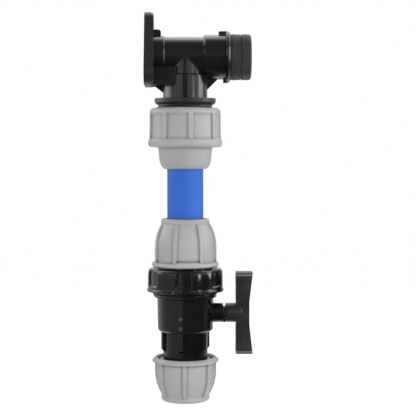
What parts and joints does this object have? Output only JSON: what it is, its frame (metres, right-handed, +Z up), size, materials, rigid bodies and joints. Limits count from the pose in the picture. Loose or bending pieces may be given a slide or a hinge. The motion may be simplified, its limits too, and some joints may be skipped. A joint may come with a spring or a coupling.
{
  "type": "pipe stop valve",
  "caption": "Quarter-turn union ball valve with a T-handle and compression pipe ends, hung by a pipe from a wall-plate tee with a side outlet.",
  "frame": {"origin": "on the wall face of the plate, on the axis of the tee's run", "axes": "+X leaves the wall along the tee's run, +Z is up, against the pipe that leads down to the valve"},
  "size_m": [0.0952, 0.0712, 0.3431],
  "materials": {
    "tee_plastic": "satin black moulded polypropylene",
    "spigot_plastic": "matte dark grey moulded plastic",
    "nut_plastic": "light grey moulded polypropylene, faint grain",
    "pipe_plastic": "blue extruded polyethylene",
    "valve_plastic": "glossy black moulded plastic",
    "handle_plastic": "satin black moulded plastic",
    "ring_plastic": "white acetal",
    "seal_rubber": "black rubber"
  },
  "bodies": {
    "fixed_run": {"tee_body": "tee_plastic", "outlet_collar": "tee_plastic", "outlet_spigot": "spigot_plastic", "outlet_seal": "seal_rubber", "tee_thrust_ring": "ring_plastic", "tee_seal_ring": "seal_rubber", "supply_pipe": "pipe_plastic", "upper_thrust_ring": "ring_plastic", "upper_seal_ring": "seal_rubber", "union_tail": "valve_plastic"},
    "tee_grip": {"tee_grip_ring": "ring_plastic"},
    "tee_nut": {"tee_nut": "nut_plastic"},
    "upper_grip": {"upper_grip_ring": "ring_plastic"},
    "upper_nut": {"upper_nut": "nut_plastic"},
    "union_nut": {"union_nut": "valve_plastic"},
    "valve": {"valve_body": "valve_plastic", "union_seal": "seal_rubber", "seat_carrier": "handle_plastic", "upper_seat": "ring_plastic", "lower_seat": "ring_plastic", "lower_thrust_ring": "ring_plastic", "lower_seal_ring": "seal_rubber"},
    "handle": {"handle": "handle_plastic", "stem": "handle_plastic", "stem_seals": "seal_rubber", "ball": "ring_plastic"},
    "lower_grip": {"lower_grip_ring": "ring_plastic"},
    "lower_nut": {"lower_nut": "nut_plastic"}
  },
  "joints": [
    {"name": "tee_nut_travel", "type": "slide", "parent": "fixed_run", "child": "tee_grip", "axis": [0, 0, -1], "range_m": [0, 0.0121]},
    {"name": "tee_nut_turn", "type": "hinge", "parent": "tee_grip", "child": "tee_nut", "pos_m": [0.0357, 0, -0.0715], "axis": [0, 0, -1], "range_deg": [0, 1080]},
    {"name": "upper_nut_travel", "type": "slide", "parent": "fixed_run", "child": "upper_grip", "axis": [0, 0, 1], "range_m": [0, 0.0121]},
    {"name": "upper_nut_turn", "type": "hinge", "parent": "upper_grip", "child": "upper_nut", "pos_m": [0.0357, 0, -0.166], "axis": [0, 0, 1], "range_deg": [0, 1080]},
    {"name": "union_nut_turn", "type": "hinge", "parent": "fixed_run", "child": "union_nut", "pos_m": [0.0357, 0, -0.1936], "axis": [0, 0, 1], "range_deg": [0, 1086]},
    {"name": "union_parting", "type": "slide", "parent": "fixed_run", "child": "valve", "axis": [0, 0, -1], "range_m": [0, 0.0096]},
    {"name": "handle_turn", "type": "hinge", "parent": "valve", "child": "handle", "pos_m": [0.0357, 0, -0.2259], "axis": [1, 0, 0], "range_deg": [0, 90]},
    {"name": "lower_nut_travel", "type": "slide", "parent": "valve", "child": "lower_grip", "axis": [0, 0, -1], "range_m": [0, 0.0121]},
    {"name": "lower_nut_turn", "type": "hinge", "parent": "lower_grip", "child": "lower_nut", "pos_m": [0.0357, 0, -0.2835], "axis": [0, 0, -1], "range_deg": [0, 1080]}
  ],
  "couplings": [
    {"joint": "tee_nut_travel", "follows": "tee_nut_turn", "m_per_rad": 0.00063662},
    {"joint": "upper_nut_travel", "follows": "upper_nut_turn", "m_per_rad": 0.00063662},
    {"joint": "union_nut_turn", "follows": "union_parting", "rad_per_m": 1963.5},
    {"joint": "lower_nut_travel", "follows": "lower_nut_turn", "m_per_rad": 0.00063662}
  ]
}
